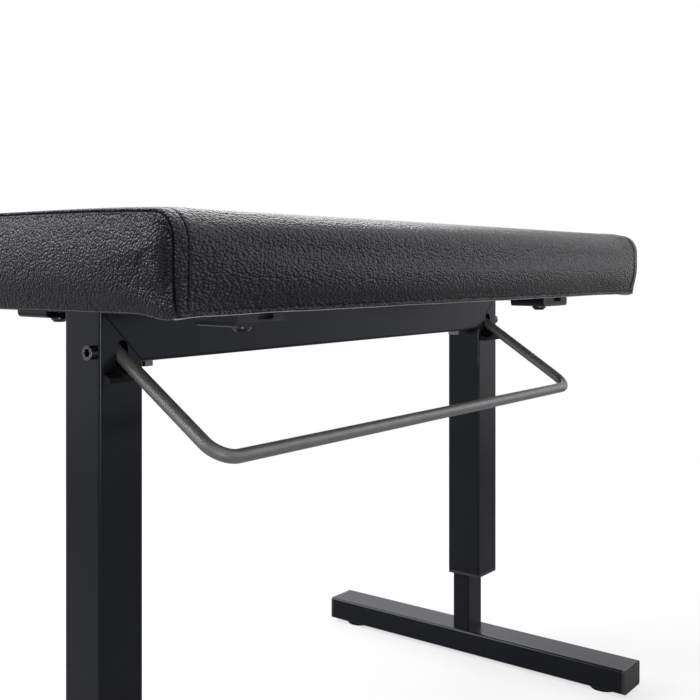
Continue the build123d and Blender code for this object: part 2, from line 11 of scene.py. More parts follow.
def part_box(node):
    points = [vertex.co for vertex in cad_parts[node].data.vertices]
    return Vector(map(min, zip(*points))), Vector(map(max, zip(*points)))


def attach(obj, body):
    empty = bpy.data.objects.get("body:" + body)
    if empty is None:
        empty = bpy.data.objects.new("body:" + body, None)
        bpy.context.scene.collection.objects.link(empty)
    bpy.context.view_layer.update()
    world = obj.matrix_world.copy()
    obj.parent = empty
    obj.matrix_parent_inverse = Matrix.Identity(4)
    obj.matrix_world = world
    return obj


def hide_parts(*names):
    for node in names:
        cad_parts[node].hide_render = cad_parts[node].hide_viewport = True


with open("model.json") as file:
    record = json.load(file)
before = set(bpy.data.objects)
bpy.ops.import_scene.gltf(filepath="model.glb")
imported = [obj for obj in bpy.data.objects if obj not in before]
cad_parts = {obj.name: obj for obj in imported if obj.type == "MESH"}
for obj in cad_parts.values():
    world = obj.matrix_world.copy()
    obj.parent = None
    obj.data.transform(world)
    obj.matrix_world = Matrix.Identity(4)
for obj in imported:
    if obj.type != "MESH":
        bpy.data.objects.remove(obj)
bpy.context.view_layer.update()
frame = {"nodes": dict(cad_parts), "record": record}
nodes = frame["nodes"]


# Portal frame: a beam and two legs of 40 mm square steel tube, mitred and welded,
# with the weld ground flat, all powder coated satin black. The inner legs,
# cross feet and seat carriers have the same coat.
class Flow:
    """One socket of a node tree, with arithmetic that adds Math nodes."""

    def __init__(self, tree, socket):
        self.tree = tree
        self.socket = socket

    def make(self, kind, settings, inputs, output=0):
        """A new node: its settings first, then the values or links of its sockets."""
        made = self.tree.nodes.new(kind)
        for key, value in settings.items():
            setattr(made, key, value)
        for key, value in inputs.items():
            if isinstance(value, Flow):
                self.tree.links.new(value.socket, made.inputs[key])
            else:
                made.inputs[key].default_value = value
        return Flow(self.tree, made.outputs[output])

    def output(self, key):
        """Another output of the same node."""
        return Flow(self.tree, self.socket.node.outputs[key])

    def math(self, operation, first, second=0.0):
        return self.make("ShaderNodeMath", {"operation": operation}, {0: first, 1: second})

    def __add__(self, other):
        return self.math("ADD", self, other)

    def __radd__(self, other):
        return self.math("ADD", other, self)

    def __sub__(self, other):
        return self.math("SUBTRACT", self, other)

    def __rsub__(self, other):
        return self.math("SUBTRACT", other, self)

    def __mul__(self, other):
        return self.math("MULTIPLY", self, other)

    def __rmul__(self, other):
        return self.math("MULTIPLY", other, self)

    def __abs__(self):
        return self.math("ABSOLUTE", self)

    def below(self, edge, width):
        """1 under an edge, falling smoothly to 0 over a width."""
        return self.make(
            "ShaderNodeMapRange",
            {"interpolation_type": "SMOOTHSTEP"},
            {0: self, 1: edge, 2: edge + width, 3: 1.0, 4: 0.0},
        )

    def between(self, low, high):
        """A number from 0 to 1, spread from low to high."""
        return self.make("ShaderNodeMapRange", {}, {0: self, 1: 0.0, 2: 1.0, 3: low, 4: high})

    def tint(self, first, second):
        """A colour between two, mixed by this number."""
        inputs = {0: self, 6: (*first, 1.0), 7: (*second, 1.0)}
        return self.make("ShaderNodeMix", {"data_type": "RGBA"}, inputs, output=2)

    def tint_over(self, under, over):
        """A colour that varies, covered by a plain one where this number is 1."""
        inputs = {0: self, 6: under, 7: (*over, 1.0)}
        return self.make("ShaderNodeMix", {"data_type": "RGBA"}, inputs, output=2)


def new_finish(name):
    """A bare material: its shader and its Object coordinates."""
    finish = bpy.data.materials.new(name)
    finish.use_nodes = True
    tree = finish.node_tree
    shader = tree.nodes["Principled BSDF"]
    place = Flow(tree, tree.nodes.new("ShaderNodeTexCoord").outputs["Object"])
    return finish, shader, place


def dress(shader, sockets):
    """Links each named socket to what varies, or sets it to what doesn't."""
    for name, value in sockets.items():
        if isinstance(value, Flow):
            value.tree.links.new(value.socket, shader.inputs[name])
        else:
            shader.inputs[name].default_value = value


def noise(place, per_metre, detail=2.0, rough=0.5):
    """Cloudy noise from 0 to 1, with about so many clouds to a metre."""
    return place.make(
        "ShaderNodeTexNoise", {}, {"Vector": place, "Scale": per_metre, "Detail": detail, "Roughness": rough}
    )


def bump(height, strength, depth):
    """The normal of a surface raised by a height, where 1 is so deep in metres."""
    return height.make("ShaderNodeBump", {}, {"Height": height, "Strength": strength, "Distance": depth})


def both(*names):
    """The left and right node of each name."""
    return [f"{name}_{side}" for name in names for side in ("left", "right")]


def paint(finish, *names):
    """Gives CAD nodes a finish."""
    for name in names:
        nodes[name].data.materials.clear()
        nodes[name].data.materials.append(finish)


FRAME_HALF_LENGTH = 0.283
BEAM_TOP = 0.410
WELD_HALF_WIDTH, WELD_FADE = 0.0006, 0.0005
COAT_DARK, COAT_LIGHT = (0.0036, 0.0040, 0.0050), (0.0058, 0.0064, 0.0080)
WELD_SHADE = (0.001, 0.001, 0.001)
coat, coat_shader, coat_place = new_finish("satin_black_coat")
coat_axes = coat_place.make("ShaderNodeSeparateXYZ", {}, {0: coat_place})
off_mitre = abs(abs(coat_axes.output("X")) - FRAME_HALF_LENGTH + BEAM_TOP - coat_axes.output("Z"))
weld_line = off_mitre.below(WELD_HALF_WIDTH, WELD_FADE)
coat_mottle = noise(coat_place, per_metre=14.0, detail=3.0)
coat_fleck = noise(coat_place, per_metre=2600.0, detail=1.0)
dress(
    coat_shader,
    {
        "Base Color": weld_line.tint_over(coat_mottle.tint(COAT_DARK, COAT_LIGHT), WELD_SHADE),
        "Specular IOR Level": 0.23,
        "Specular Tint": (0.80, 0.85, 1.0, 1.0),
        "Roughness": coat_mottle.between(0.20, 0.27) + weld_line * 0.4,
        "Normal": bump(coat_fleck - weld_line * 3.0, strength=0.12, depth=0.0001),
    },
)
paint(coat, "beam", *both("outer_leg", "inner_leg", "foot", "seat_carrier"))

# Moulded plastic: the guide bushes at the legs' mouths, the glides inside them,
# the plugs in the carriers and the caps in the feet, all black polyamide
# with a fine spark-eroded grain.
PLASTIC_DARK, PLASTIC_LIGHT = (0.009, 0.009, 0.009), (0.014, 0.014, 0.0145)
plastic, plastic_shader, plastic_place = new_finish("black_polyamide")
plastic_grain = noise(plastic_place, per_metre=1800.0)
plastic_tone = noise(plastic_place, per_metre=60.0)
dress(
    plastic_shader,
    {
        "Base Color": plastic_tone.tint(PLASTIC_DARK, PLASTIC_LIGHT),
        "Roughness": plastic_grain.between(0.42, 0.58),
        "Normal": bump(plastic_grain, strength=0.2, depth=0.00015),
    },
)
paint(plastic, "carrier_plugs", *both("leg_bush", "leg_glide", "foot_caps"))

# Rubber: the rests that the lever lies on and the pads under the feet,
# moulded in black rubber and pressed into place.
RUBBER_DARK, RUBBER_BLOOM = (0.004, 0.004, 0.004), (0.008, 0.008, 0.0078)
rubber, rubber_shader, rubber_place = new_finish("black_rubber")
rubber_bloom = noise(rubber_place, per_metre=120.0, detail=4.0)
dress(
    rubber_shader,
    {
        "Base Color": rubber_bloom.tint(RUBBER_DARK, RUBBER_BLOOM),
        "Specular IOR Level": 0.14,
        "Roughness": rubber_bloom.between(0.55, 0.75),
        "Normal": bump(noise(rubber_place, per_metre=900.0), strength=0.15, depth=0.0002),
    },
)
paint(rubber, *both("lever_rest", "foot_pads"))

# Bolts, nuts, spacers and latch: zinc plated bolts under the seat, their nuts in
# the board and the spacers on the pivot screws, and the bare cut steel of the
# links and latch bolts inside the legs.
ZINC_DULL, ZINC_BRIGHT = (0.09, 0.09, 0.093), (0.16, 0.16, 0.164)
zinc, zinc_shader, zinc_place = new_finish("zinc_plate")
zinc_cloud = noise(zinc_place, per_metre=220.0, detail=3.0)
dress(
    zinc_shader,
    {
        "Metallic": 1.0,
        "Base Color": zinc_cloud.tint(ZINC_DULL, ZINC_BRIGHT),
        "Roughness": zinc_cloud.between(0.25, 0.42),
        "Normal": bump(noise(zinc_place, per_metre=1500.0), strength=0.08, depth=0.0001),
    },
)
paint(zinc, "beam_bolts", "carrier_nuts", "beam_nuts", "pivot_spacers")

CUT_DULL, CUT_BRIGHT = (0.3, 0.3, 0.31), (0.46, 0.46, 0.47)
cut_steel, cut_shader, cut_place = new_finish("cut_steel")
cut_cloud = noise(cut_place, per_metre=160.0, detail=4.0)
dress(
    cut_shader,
    {
        "Metallic": 1.0,
        "Base Color": cut_cloud.tint(CUT_DULL, CUT_BRIGHT),
        "Roughness": cut_cloud.between(0.35, 0.5),
        "Normal": bump(noise(cut_place, per_metre=700.0), strength=0.1, depth=0.0001),
    },
)
paint(cut_steel, *both("latch_link", "latch_bolt"))

# Black oxide screws: the socket-head pivot screws on the legs' outer faces
# and the round-headed bolts under the seat carriers. The pivot screws' fronts
# carry painted glints: bright steel is painted in rings at the rim and round the socket.
SCREW_FRONT_X, FRONT_DEPTH = 0.2892, 0.0004
SCREW_RIM, SOCKET_RIM = 0.0050, 0.0032
RIM_HALF_WIDTH, RIM_FADE = 0.0002, 0.0003
OXIDE_DARK, OXIDE_LIGHT = (0.02, 0.02, 0.021), (0.05, 0.05, 0.052)
# the colour of the painted glints on the pivot screws' fronts
GLINT_STEEL = (0.42, 0.42, 0.43)
joints = {joint["name"]: joint for joint in frame["record"]["behaviour"]["joints"]}
pivot = joints["lever_lift"]["pos_m"]
oxide, oxide_shader, oxide_place = new_finish("black_oxide")
oxide_cloud = noise(oxide_place, per_metre=260.0, detail=3.0)
oxide_axes = oxide_place.make("ShaderNodeSeparateXYZ", {}, {0: oxide_place})
from_axis = oxide_place.make(
    "ShaderNodeVectorMath",
    {"operation": "MULTIPLY_ADD"},
    {0: oxide_place, 1: (0.0, 1.0, 1.0), 2: (0.0, -pivot[1], -pivot[2])},
)
from_axis = oxide_place.make("ShaderNodeVectorMath", {"operation": "LENGTH"}, {0: from_axis}, output=1)
on_rim = abs(from_axis - SCREW_RIM).below(RIM_HALF_WIDTH, RIM_FADE)
on_rim = on_rim + abs(from_axis - SOCKET_RIM).below(RIM_HALF_WIDTH, RIM_FADE)
on_front = (SCREW_FRONT_X - abs(oxide_axes.output("X"))).below(FRONT_DEPTH, FRONT_DEPTH)
# painted glint: bright steel colour in rings at the rim and round the socket of the pivot screws' fronts
rim_glint = on_rim * on_front * oxide_cloud
dress(
    oxide_shader,
    {
        "Metallic": 0.85,
        "Base Color": rim_glint.tint_over(oxide_cloud.tint(OXIDE_DARK, OXIDE_LIGHT), GLINT_STEEL),
        "Roughness": oxide_cloud.between(0.18, 0.30),
        "Normal": bump(noise(oxide_place, per_metre=1200.0), strength=0.08, depth=0.0001),
    },
)
paint(oxide, "pivot_screws", "carrier_bolts")

# Release lever: one 10 mm round bar bent to a wide U, lacquered dark grey
# with a fine hammered grain. It turns on the two pivot screws.
LACQUER_DARK, LACQUER_LIGHT = (0.118, 0.118, 0.121), (0.19, 0.19, 0.194)
lacquer, lacquer_shader, lacquer_place = new_finish("grey_hammered_lacquer")
hammer = noise(lacquer_place, per_metre=850.0, rough=0.6)
lacquer_tone = noise(lacquer_place, per_metre=90.0, detail=3.0)
dress(
    lacquer_shader,
    {
        "Metallic": 0.55,
        "Base Color": lacquer_tone.tint(LACQUER_DARK, LACQUER_LIGHT),
        "Roughness": hammer.between(0.30, 0.48),
        "Normal": bump(hammer, strength=0.7, depth=0.0005),
    },
)
paint(lacquer, "lever_bar")

# Seat board: plywood, its face veneer running along the seat, with the nuts
# pressed in from above. It shows from below, inside the cover's hem.
VENEER_DARK, VENEER_LIGHT = (0.19, 0.135, 0.085), (0.33, 0.25, 0.17)
GRAIN_CLOSER_ACROSS = 22.0
ply, ply_shader, ply_place = new_finish("birch_plywood")
ply_run = ply_place.make(
    "ShaderNodeMapping", {}, {"Vector": ply_place, "Scale": (1.0, GRAIN_CLOSER_ACROSS, GRAIN_CLOSER_ACROSS)}
)
ply_figure = noise(ply_run, per_metre=9.0, detail=6.0, rough=0.62)
ply_pore = noise(ply_run, per_metre=70.0, detail=3.0)
dress(
    ply_shader,
    {
        "Base Color": ply_figure.tint(VENEER_DARK, VENEER_LIGHT),
        "Roughness": ply_pore.between(0.55, 0.75),
        "Normal": bump(ply_pore, strength=0.25, depth=0.0003),
    },
)
paint(ply, "seat_board")

# Seat cushion: black leatherette sewn as a main panel and two end panels, drawn
# tight over foam and stapled under the board. The panels are swelled by a cloth
# simulation, then the sewn lines are pulled in and the board's pocket is opened.
HEM_Z = 0.411
SEAT_HALF_LENGTH, SEAT_HALF_DEPTH = 0.345, 0.164
SHOULDER, SHOULDER_Z = 0.018, 0.0445
TOP_REACH = SEAT_HALF_DEPTH - SHOULDER
SEAM_X = SEAT_HALF_LENGTH - 0.0006
STITCH_X = SEAM_X - 0.0105
CROWN_AT_ENDS, CROWN_IN_MIDDLE = 0.002, 0.0025
END_RIM, END_RIM_FROM, END_RIM_RUN = 0.0010, 0.300, 0.035


def clamped(share):
    return max(0.0, min(1.0, share))


def crown_height(x, y):
    """How far the top stands above the shoulders: a low crown, with full edges at the ends."""
    along = 1 - (x / SEAT_HALF_LENGTH) ** 2
    across = 1 - min(1.0, abs(y) / TOP_REACH) ** 3
    rim = clamped((abs(x) - END_RIM_FROM) / END_RIM_RUN)
    return (CROWN_AT_ENDS + CROWN_IN_MIDDLE * along) * across + END_RIM * rim * rim * (3 - 2 * rim)


EDGE_ROLL, EDGE_INSET = 0.0032, 0.0022


def edge_inset(x):
    """How far the outline has turned in where the main panel rolls over to its end seam."""
    share = clamped((abs(x) - SEAM_X + EDGE_ROLL) / EDGE_ROLL)
    return EDGE_INSET * (1 - math.sqrt(1 - share * share))


SIDE_DRAW, SIDE_TURN = 0.011, 0.032
CORNER_FROM, CORNER_RUN, CORNER_LOSS = 0.240, 0.105, 0.6
SHOULDER_STEPS = 6
SIDE_HEIGHTS = (0.040, 0.032, 0.0265, 0.021, 0.0155, 0.0105, 0.0065)
HEM_CREASE = ((0.0022, 0.0029), (0.0012, 0.0019), (0.0020, 0.0011), (0.0018, -0.0002))
HEM_ROLL = ((0.0006, -0.0010), (-0.002, -0.0014), (-0.0052, -0.0007))


def side_fall(z):
    """How far a height lies below the side's turn, from 0 there to 1 at the hem."""
    return max(0.0, SIDE_TURN - z) / SIDE_TURN


def cushion_side(x):
    """One side from the shoulder down: upright, drawn in, a crease and the rolled hem."""
    radius = SHOULDER - edge_inset(x)
    draw = SIDE_DRAW * (1 - CORNER_LOSS * max(0.0, (abs(x) - CORNER_FROM) / CORNER_RUN) ** 2)
    full = crown_height(x, SEAT_HALF_DEPTH)
    points = []
    for i in range(1, SHOULDER_STEPS + 1):
        turn = math.radians(90 - 90 / SHOULDER_STEPS * i)
        points.append((TOP_REACH + radius * math.cos(turn), SHOULDER_Z + (radius + full) * math.sin(turn)))
    for z in SIDE_HEIGHTS:
        fall = side_fall(z)
        points.append((TOP_REACH + radius - draw * fall * fall, z))
    hem = TOP_REACH + radius - draw
    return points + [(hem + y, z) for y, z in HEM_CREASE + HEM_ROLL]


TOP_STEPS = 24
WINDOW_X, WINDOW_Y = 0.3109, 0.1249
HEM_UNDER = (0.1445, 0.135)


def cushion_ring(x):
    """The outline at one place along the seat: over the top, down the right, below, up the left."""
    top_z = SHOULDER_Z + SHOULDER - edge_inset(x)
    top = []
    for i in range(TOP_STEPS + 1):
        y = TOP_REACH * (2 * i / TOP_STEPS - 1)
        top.append((y, top_z + crown_height(x, y)))
    side = cushion_side(x)
    below = []
    for i in range(TOP_STEPS + 1):
        share = 1 - 2 * i / TOP_STEPS
        from_edge = min(i, TOP_STEPS - i)
        if from_edge < len(HEM_UNDER):
            y = math.copysign(HEM_UNDER[from_edge], share)
        else:
            y = WINDOW_Y * share / (1 - 2 * len(HEM_UNDER) / TOP_STEPS)
        below.append((y, 0.0))
    left = [(-y, z) for y, z in reversed(side)]
    return top, side, below, left


END_DRAW, END_DRAW_RUN = 0.006, 0.06


def lean(x, z):
    """How far an end is drawn in at a height, fading out along the seat."""
    near_end = max(0.0, (abs(x) - SEAT_HALF_LENGTH + END_DRAW_RUN) / END_DRAW_RUN)
    fall = side_fall(z)
    return END_DRAW * fall * fall * near_end * near_end


def cushion_point(x, y, z):
    """A place on the cushion, from its place along the seat, across it and above the hem."""
    return (x - math.copysign(lean(x, z), x), y, HEM_Z + z)


# rings stand closer where the pocket, the stitches and the seam are
STATION_STEP, STATION_COUNT = 0.0127, 24
half_stations = [STATION_STEP * i for i in range(STATION_COUNT)]
half_stations += [WINDOW_X + step for step in (-0.006, 0.0, 0.008)]
half_stations += [STITCH_X + step for step in (-0.0040, -0.0009, 0.0, 0.0009, 0.0038)]
half_stations += [SEAM_X - step for step in (0.0032, 0.0017, 0.0007, 0.0)]
stations = [-x for x in reversed(half_stations[1:])] + half_stations

shell = bmesh.new()
rings = []
for x in stations:
    outline = sum(cushion_ring(x), [])
    rings.append([shell.verts.new(cushion_point(x, y, z)) for y, z in outline])


def bridge(first, second, outwards):
    """A band of faces between two rings."""
    for i in range(len(first)):
        j = (i + 1) % len(first)
        corners = (first[i], first[j], second[j], second[i])
        shell.faces.new(corners if outwards else corners[::-1])


for first, second in zip(rings, rings[1:]):
    bridge(first, second, True)
stitch_rings = [ring for x, ring in zip(stations, rings) if abs(abs(x) - STITCH_X) < 1e-6]
seam_rings = [rings[0], rings[-1]]
seam_lips = [rings[1], rings[-2]]

# an end panel's rings, from the seam inwards: share of the way in, how far the ring
# stands out beside the upright seams, where it dips first, and along hem and top
END_PANEL_RINGS = (
    (0.022, 0.0006, 0.0003),
    (0.07, -0.0012, 0.0005),
    (0.13, -0.0032, 0.0007),
    (0.19, -0.0026, 0.0010),
    (0.26, 0.0002, 0.0014),
    (0.35, 0.0024, 0.0020),
    (0.48, 0.0034, 0.0028),
    (0.64, 0.0038, 0.0035),
    (0.82, 0.0039, 0.0039),
)
UPRIGHT_FROM, UPRIGHT_RUN = 0.004, 0.014
UPRIGHT_TO, TOP_RUN, TOP_LOSS = 0.050, 0.011, 0.75
SPINE_Y, SPINE_Z = 0.128, 0.031
below_start = TOP_STEPS + 1 + len(cushion_side(0))
end_lips = []
for sign, edge in ((-1, rings[0]), (1, rings[-1])):
    previous = edge
    outline = sum(cushion_ring(sign * SEAM_X), [])
    for share, upright, level in END_PANEL_RINGS:
        ring = []
        for y, z in outline:
            beside = clamped((z - UPRIGHT_FROM) / UPRIGHT_RUN)
            beside *= 1 - TOP_LOSS * clamped((z - UPRIGHT_TO) / TOP_RUN)
            stand = level + (upright - level) * beside
            inner_y = y + (max(-SPINE_Y, min(SPINE_Y, y)) - y) * share
            inner_z = z + (SPINE_Z - z) * share
            ring.append(shell.verts.new(cushion_point(sign * (SEAM_X + stand), inner_y, inner_z)))
        bridge(previous, ring, sign > 0)
        if previous is edge:
            end_lips.append(ring)
        previous = ring
    top = previous[: TOP_STEPS + 1]
    below = previous[below_start : below_start + TOP_STEPS + 1][::-1]
    fillers = [(top[i], top[i + 1], below[i + 1], below[i]) for i in range(TOP_STEPS)]
    fillers.append(previous[TOP_STEPS : below_start + 1])
    fillers.append(previous[below_start + TOP_STEPS :] + previous[:1])
    for corners in fillers:
        shell.faces.new(corners if sign > 0 else corners[::-1])
bmesh.ops.recalc_face_normals(shell, faces=shell.faces)
shell.verts.index_update()
stitched = {v.index for ring in stitch_rings for v in ring}
sewn = {v.index for ring in seam_rings for v in ring}
lipped = {v.index for ring in seam_lips + end_lips for v in ring}

# a painted highlight along the hem's fold: at full strength along the sides, about half under the end panels
END_FOLD_HIGHLIGHT = 0.54
fold_first = below_start - len(HEM_ROLL)
fold_last = below_start + TOP_STEPS + len(HEM_ROLL)
fold_highlight = {ring[i].index: 1.0 for ring in rings for i in (fold_first, fold_last)}
for ring in end_lips:
    fold_highlight.update({v.index: END_FOLD_HIGHLIGHT for v in ring[fold_first : fold_last + 1]})


def into_scene(name, data):
    """A new object in the scene for a mesh, a lamp or a camera."""
    made = bpy.data.objects.new(name, data)
    bpy.context.scene.collection.objects.link(made)
    return made


cushion_mesh = bpy.data.meshes.new("seat_cushion")
shell.to_mesh(cushion_mesh)
shell.free()
cushion = into_scene("seat_cushion", cushion_mesh)

SWELL_CAP = 0.002
SWELL_FRAMES = 20
HEM_HELD = 0.007
STITCH_HELD = 0.8
held = cushion.vertex_groups.new(name="held")
for v in cushion_mesh.vertices:
    fixed = v.index in sewn or v.index in lipped or v.co.z < HEM_Z + HEM_HELD
    held.add([v.index], 1.0 if fixed else (STITCH_HELD if v.index in stitched else 0.0), "REPLACE")
cloth = cushion.modifiers.new("swell", "CLOTH")
cloth.settings.quality = 6
cloth.settings.mass = 0.25
cloth.settings.tension_stiffness = 25
cloth.settings.compression_stiffness = 25
cloth.settings.shear_stiffness = 12
cloth.settings.bending_stiffness = 2.0
cloth.settings.use_pressure = True
cloth.settings.uniform_pressure_force = 4.0
cloth.settings.vertex_group_mass = "held"
cloth.settings.effector_weights.gravity = 0.0
cloth.collision_settings.use_collision = False
cloth.point_cache.frame_start = 1
cloth.point_cache.frame_end = SWELL_FRAMES
before = [v.co.copy() for v in cushion_mesh.vertices]
for step in range(1, SWELL_FRAMES + 1):
    bpy.context.scene.frame_set(step)
swelled = cushion.evaluated_get(bpy.context.evaluated_depsgraph_get())
after = [v.co.copy() for v in swelled.to_mesh().vertices]
swelled.to_mesh_clear()
cushion.modifiers.remove(cloth)
cushion.vertex_groups.clear()
bpy.context.scene.frame_set(1)
for v, old, new in zip(cushion_mesh.vertices, before, after):
    shift = new - old
    v.co = old + shift * min(1.0, SWELL_CAP / max(shift.length, 1e-9))

# the sewn lines go in, the hem waves a little and hangs at the corners
PULL_FROM = 0.0045
STITCH_PULL, SEAM_PULL, LIP_RISE = 0.0014, 0.0016, 0.0003
HEM_HALF_LENGTH, HEM_HALF_DEPTH = 0.339, 0.151
CORNER_Y, CORNER_HANG, CORNER_SPREAD = 0.146, 0.0030, 0.010
LOW_PART = 0.016
WAVE_DEPTH, WAVE_REACH, WAVES_PER_METRE, WAVE_SLICE = 0.0005, 0.008, 34, 1.7
shell = bmesh.new()
shell.from_mesh(cushion_mesh)
shell.normal_update()
shifts = []
for v in shell.verts:
    height = v.co.z - HEM_Z
    pull = 0.0
    if height > PULL_FROM:
        if v.index in stitched:
            pull = STITCH_PULL
        elif v.index in sewn:
            pull = SEAM_PULL
        elif v.index in lipped:
            pull = -LIP_RISE
    inside_x = max(0.0, HEM_HALF_LENGTH - abs(v.co.x))
    inside_y = max(0.0, HEM_HALF_DEPTH - abs(v.co.y))
    from_corner = math.hypot(inside_x, abs(v.co.y) - CORNER_Y)
    low = max(0.0, 1 - max(0.0, height) / LOW_PART)
    hang = CORNER_HANG * math.exp(-((from_corner / CORNER_SPREAD) ** 2)) * low
    wave = ripple.noise(Vector((v.co.x * WAVES_PER_METRE, v.co.y * WAVES_PER_METRE, WAVE_SLICE)))
    wave *= WAVE_DEPTH * max(0.0, 1 - min(inside_x, inside_y) / WAVE_REACH) * low
    shifts.append(v.normal * pull + Vector((0, 0, hang + wave)))
for v, shift in zip(shell.verts, shifts):
    v.co -= shift

SEWN_CREASE = 0.7
sewn_line = shell.verts.layers.float.new("sewn_line")
hem_fold_highlight = shell.verts.layers.float.new("hem_fold_highlight")
crease = shell.edges.layers.float.get("crease_edge") or shell.edges.layers.float.new("crease_edge")
for line in (stitched, sewn):
    for e in shell.edges:
        if all(v.index in line for v in e.verts):
            e[crease] = SEWN_CREASE
for v in shell.verts:
    # marks the sewn lines, which the leather paints in shade
    v[sewn_line] = float((v.index in stitched or v.index in sewn) and v.co.z > HEM_Z + 0.001)
    # marks the hem's fold for its painted highlight
    v[hem_fold_highlight] = fold_highlight.get(v.index, 0.0)

# the board's pocket: the faces under it go, and a step up round its edge closes over it
BOARD_PLAY = 0.0004


def over_window(v):
    """Whether a point lies below the board."""
    inside = abs(v.co.x) < WINDOW_X + BOARD_PLAY and abs(v.co.y) < WINDOW_Y + BOARD_PLAY
    return inside and v.co.z < HEM_Z + 2 * BOARD_PLAY


opened = [f for f in shell.faces if all(over_window(v) for v in f.verts)]
bmesh.ops.delete(shell, geom=opened, context="FACES")
board_low, board_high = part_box("seat_board")
pocket_floor = board_low.z - 0.0002
pocket_steps = (
    (1.0, 1.0, pocket_floor),
    ((board_high.x + BOARD_PLAY) / WINDOW_X, (board_high.y + 0.0003) / WINDOW_Y, pocket_floor),
    (1.0, 1.0, board_high.z + BOARD_PLAY),
)
loop = [e for e in shell.edges if e.is_boundary]
for stretch_x, stretch_y, height in pocket_steps:
    for e in loop:
        e[crease] = 1.0
    grown = bmesh.ops.extrude_edge_only(shell, edges=loop)["geom"]
    for v in (g for g in grown if isinstance(g, bmesh.types.BMVert)):
        v.co = Vector((v.co.x * stretch_x, v.co.y * stretch_y, height))
    loop = [g for g in grown if isinstance(g, bmesh.types.BMEdge) and g.is_boundary]
for e in loop:
    e[crease] = 1.0
bmesh.ops.contextual_create(shell, geom=loop)
bmesh.ops.recalc_face_normals(shell, faces=shell.faces)
shell.to_mesh(cushion_mesh)
shell.free()
for polygon in cushion_mesh.polygons:
    polygon.use_smooth = True
rounder = cushion.modifiers.new("round", "SUBSURF")
rounder.levels = 2
rounder.render_levels = 2

PEBBLES_PER_METRE, FINE_PEBBLES_PER_METRE = 600.0, 1400.0
PEBBLE_WARP, PEBBLE_STRETCH = 0.0016, (0.6, 1.0, 1.0)
PUCKER_HALF_WIDTH, PUCKER_FADE = 0.0005, 0.008
LEATHER_DARK, LEATHER_LIGHT = (0.0015, 0.0015, 0.0019), (0.0075, 0.0075, 0.0090)
SEWN_LINE_PAINTED_SHADE = (0.0004, 0.0004, 0.0004)
FOLD_PAINTED_HIGHLIGHT = (0.3, 0.3, 0.305)
leather, leather_shader, leather_place = new_finish("black_leatherette")
leather_axes = leather_place.make("ShaderNodeSeparateXYZ", {}, {0: leather_place})
warp = leather_place.make(
    "ShaderNodeVectorMath",
    {"operation": "MULTIPLY_ADD"},
    {0: noise(leather_place, per_metre=130.0).output("Color"), 1: [PEBBLE_WARP] * 3, 2: leather_place},
)
warp = leather_place.make("ShaderNodeMapping", {}, {"Vector": warp, "Scale": PEBBLE_STRETCH})
pebble = leather_place.make(
    "ShaderNodeTexVoronoi",
    {"feature": "SMOOTH_F1"},
    {"Vector": warp, "Scale": PEBBLES_PER_METRE, "Smoothness": 0.25},
)
fine_pebble = leather_place.make(
    "ShaderNodeTexVoronoi", {"feature": "F1"}, {"Vector": warp, "Scale": FINE_PEBBLES_PER_METRE}
)
by_stitches = abs(abs(leather_axes.output("X")) - STITCH_X).below(PUCKER_HALF_WIDTH, PUCKER_FADE)
pucker = noise(leather_place, per_metre=170.0, detail=1.0) * by_stitches
in_line = leather_place.make("ShaderNodeAttribute", {"attribute_name": "sewn_line"}, {}, output=2)
in_line = 1.0 - in_line.below(0.35, 0.4)
# painted highlight: a light grey line painted along the hem's fold
fold_highlight_mask = leather_place.make("ShaderNodeAttribute", {"attribute_name": "hem_fold_highlight"}, {}, output=2)
fold_highlight_mask = 1.0 - fold_highlight_mask.below(0.35, 0.5)
grain = (1.0 - pebble * 1.2 - fine_pebble * 0.25 + pucker * 0.7) * (1.0 - in_line)
wear = noise(leather_place, per_metre=22.0, detail=4.0)
# painted light and shade: the pebbles' tops are painted lighter and the hollows between them darker, mixed
# with a random tone
leather_tone_and_painted_light = (wear * 0.5 + grain * 0.5).tint(LEATHER_DARK, LEATHER_LIGHT)
# painted shade: the sewn lines are painted near black, as the shade in their grooves
leather_tone_and_painted_light = in_line.tint_over(leather_tone_and_painted_light, SEWN_LINE_PAINTED_SHADE)
dress(
    leather_shader,
    {
        "Base Color": fold_highlight_mask.tint_over(leather_tone_and_painted_light, FOLD_PAINTED_HIGHLIGHT),
        "Specular IOR Level": 0.22,
        "Specular Tint": (0.82, 0.84, 1.0, 1.0),
        "Roughness": wear.between(0.22, 0.29) - grain * 0.05 + in_line * 0.6,
        "Normal": bump(grain, strength=0.75, depth=0.0011),
    },
)
cushion_mesh.materials.append(leather)
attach(cushion, "frame")
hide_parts("cover_main", "cover_end_left", "cover_end_right", "seat_foam")


